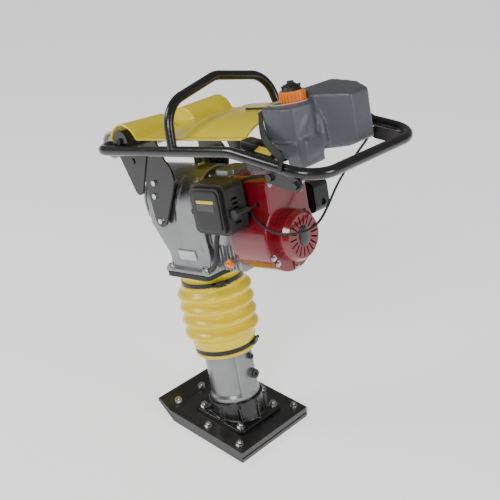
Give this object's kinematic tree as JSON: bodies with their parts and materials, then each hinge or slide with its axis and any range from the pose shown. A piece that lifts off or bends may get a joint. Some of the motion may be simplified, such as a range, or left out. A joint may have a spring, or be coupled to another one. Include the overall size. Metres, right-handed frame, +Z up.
{
  "type": "tamping rammer",
  "caption": "Upright soil rammer: petrol engine, crankcase and yellow bellows over a spring-loaded leg with a flat shoe; looped black handle with fuel tank, cover, lifting bar and front roller.",
  "frame": {"origin": "on the ground under the sole, where the leg's axis meets it", "axes": "+X the way the machine walks, +Y its left, +Z up"},
  "size_m": [0.7762, 0.4246, 1.0808],
  "materials": {
    "black_steel": "gloss black paint",
    "shoe_steel": "worn black paint on steel",
    "silver_paint": "silver-grey paint on aluminium castings",
    "silver_leg": "silver-grey paint on the cast spring cylinder",
    "board_black": "worn black composite board",
    "zinc": "bright zinc plate",
    "steel": "bare machined steel",
    "bronze": "bearing bronze",
    "bush_plastic": "natural bearing plastic",
    "yellow_bellows": "flexible yellow polyurethane",
    "yellow_cover": "pale yellow moulded plastic",
    "red_paint": "deep red gloss",
    "red_plastic": "red moulding",
    "tank_plastic": "dark slate blow-moulded plastic",
    "black_plastic": "black moulding",
    "orange_plastic": "orange moulding",
    "clear_plastic": "milky flexible plastic",
    "roller_plastic": "light grey plastic",
    "rubber": "black rubber",
    "cast_alu": "die-cast, fine grain",
    "dark_steel": "heat-proof dark grey paint",
    "friction": "clutch lining on iron",
    "foam": "oiled filter foam"
  },
  "bodies": {
    "foot": {"wear_plate": "shoe_steel", "shoe_board": "board_black", "shoe_bolts": "zinc", "foot_casting": "black_steel", "foot_studs": "zinc", "spring_cylinder": "silver_leg", "oil_plugs": "black_plastic", "cylinder_cap": "bronze", "ram_springs": "steel", "bellows": "yellow_bellows", "lower_clamp": "dark_steel"},
    "upper": {"upper_clamp": "dark_steel", "guide_tube": "steel", "guide_bush": "bush_plastic", "crankcase": "silver_paint", "crankcase_seal": "rubber", "crankcase_cover": "silver_paint", "case_bolts": "zinc", "breather": "black_plastic", "drive_bearings": "steel", "side_brackets": "black_steel", "engine_block": "cast_alu", "head_cover": "cast_alu", "fan_shroud": "red_paint", "starter_cover": "red_paint", "carburettor": "cast_alu", "cleaner_base": "black_plastic", "air_filter": "foam", "cleaner_cover": "black_plastic", "muffler": "dark_steel", "muffler_guard": "dark_steel", "spark_plug": "rubber", "rubber_mounts": "rubber"},
    "piston": {"piston_rod": "steel"},
    "crank": {"crank_gear": "steel"},
    "rod": {"con_rod": "steel"},
    "clutch": {"pinion_drum": "steel"},
    "rotor": {"crankshaft": "steel", "clutch_shoes": "friction", "flywheel": "cast_alu"},
    "grip": {"starter_grip": "black_plastic"},
    "choke": {"choke_lever": "black_plastic"},
    "knob": {"cleaner_knob": "black_plastic"},
    "dipstick": {"oil_cap": "orange_plastic"},
    "switch": {"stop_switch": "red_plastic"},
    "handle": {"handle_frame": "black_steel", "lifting_bar": "black_steel", "handle_plates": "black_steel", "top_cover": "yellow_cover", "tank": "tank_plastic", "filler_collar": "orange_plastic", "cap_tether": "clear_plastic", "tank_cradle": "black_steel", "fuel_cock": "cast_alu", "fuel_hose": "rubber", "throttle_cable": "rubber"},
    "loading_roller": {"roller": "roller_plastic"},
    "fuel_cap": {"tank_cap": "black_plastic"},
    "cock": {"cock_lever": "red_plastic"},
    "throttle": {"throttle_lever": "red_plastic"}
  },
  "joints": [
    {"name": "leg_slide", "type": "slide", "parent": "foot", "child": "upper", "axis": [0.2351, 0, 0.972], "range_m": [-0.055, 0.01], "stiffness_N_per_m": 60000, "springref_m": 0.0094, "deforming": ["bellows", "ram_springs"]},
    {"name": "piston_slide", "type": "slide", "parent": "upper", "child": "piston", "axis": [0.2351, 0, 0.972], "range_m": [0, 0.052], "deforming": ["ram_springs"]},
    {"name": "crank_spin", "type": "hinge", "parent": "upper", "child": "crank", "pos_m": [0.16319, 0, 0.67454], "axis": [0.972, 0, -0.2351], "continuous": true},
    {"name": "rod_swing", "type": "hinge", "parent": "crank", "child": "rod", "pos_m": [0.15707, 0, 0.64927], "axis": [0.972, 0, -0.2351], "continuous": true},
    {"name": "pinion_spin", "type": "hinge", "parent": "upper", "child": "clutch", "pos_m": [0.14318, 0, 0.59183], "axis": [0.972, 0, -0.2351], "continuous": true},
    {"name": "engine_spin", "type": "hinge", "parent": "upper", "child": "rotor", "pos_m": [-0.00262, 0, 0.6271], "axis": [0.972, 0, -0.2351], "continuous": true},
    {"name": "starter_pull", "type": "slide", "parent": "upper", "child": "grip", "axis": [0, 1, 0], "range_m": [0, 0.12], "stiffness_N_per_m": 60, "springref_m": -0.02},
    {"name": "choke_turn", "type": "hinge", "parent": "upper", "child": "choke", "pos_m": [-0.06256, 0.072, 0.76208], "axis": [0, 1, 0], "range_deg": [0, 50]},
    {"name": "cleaner_screw", "type": "hinge", "parent": "upper", "child": "knob", "pos_m": [0.02362, 0.12, 0.72065], "axis": [0, 1, 0], "continuous": true},
    {"name": "oil_cap_turn", "type": "hinge", "parent": "upper", "child": "dipstick", "pos_m": [-0.04635, 0.088, 0.57389], "axis": [0, 1, 0], "continuous": true},
    {"name": "stop_rocker", "type": "hinge", "parent": "upper", "child": "switch", "pos_m": [-0.1511, -0.052, 0.79584], "axis": [0, 1, 0], "range_deg": [-2, 12]},
    {"name": "handle_rock", "type": "hinge", "parent": "upper", "child": "handle", "pos_m": [0.24471, 0, 0.86265], "axis": [0, 1, 0], "range_deg": [-1.5, 1.5], "stiffness_Nm_per_rad": 4000, "springref_deg": 0.53, "deforming": ["rubber_mounts", "fuel_hose", "throttle_cable"]},
    {"name": "roller_spin", "type": "hinge", "parent": "handle", "child": "loading_roller", "pos_m": [0.33113, 0, 0.82013], "axis": [0, 1, 0], "continuous": true},
    {"name": "cap_turn", "type": "hinge", "parent": "handle", "child": "fuel_cap", "pos_m": [-0.20694, 0.05, 1.05834], "axis": [0.2351, 0, 0.972], "continuous": true},
    {"name": "fuel_cock_turn", "type": "hinge", "parent": "handle", "child": "cock", "pos_m": [-0.27035, 0.098, 0.88128], "axis": [0, 1, 0], "range_deg": [0, 90]},
    {"name": "throttle_turn", "type": "hinge", "parent": "handle", "child": "throttle", "pos_m": [-0.25647, -0.17, 0.93869], "axis": [0, 1, 0], "range_deg": [0, 55]}
  ],
  "couplings": [
    {"joint": "rod_swing", "follows": "crank_spin", "ratio": -1},
    {"joint": "pinion_spin", "follows": "crank_spin", "ratio": -5.5385}
  ]
}
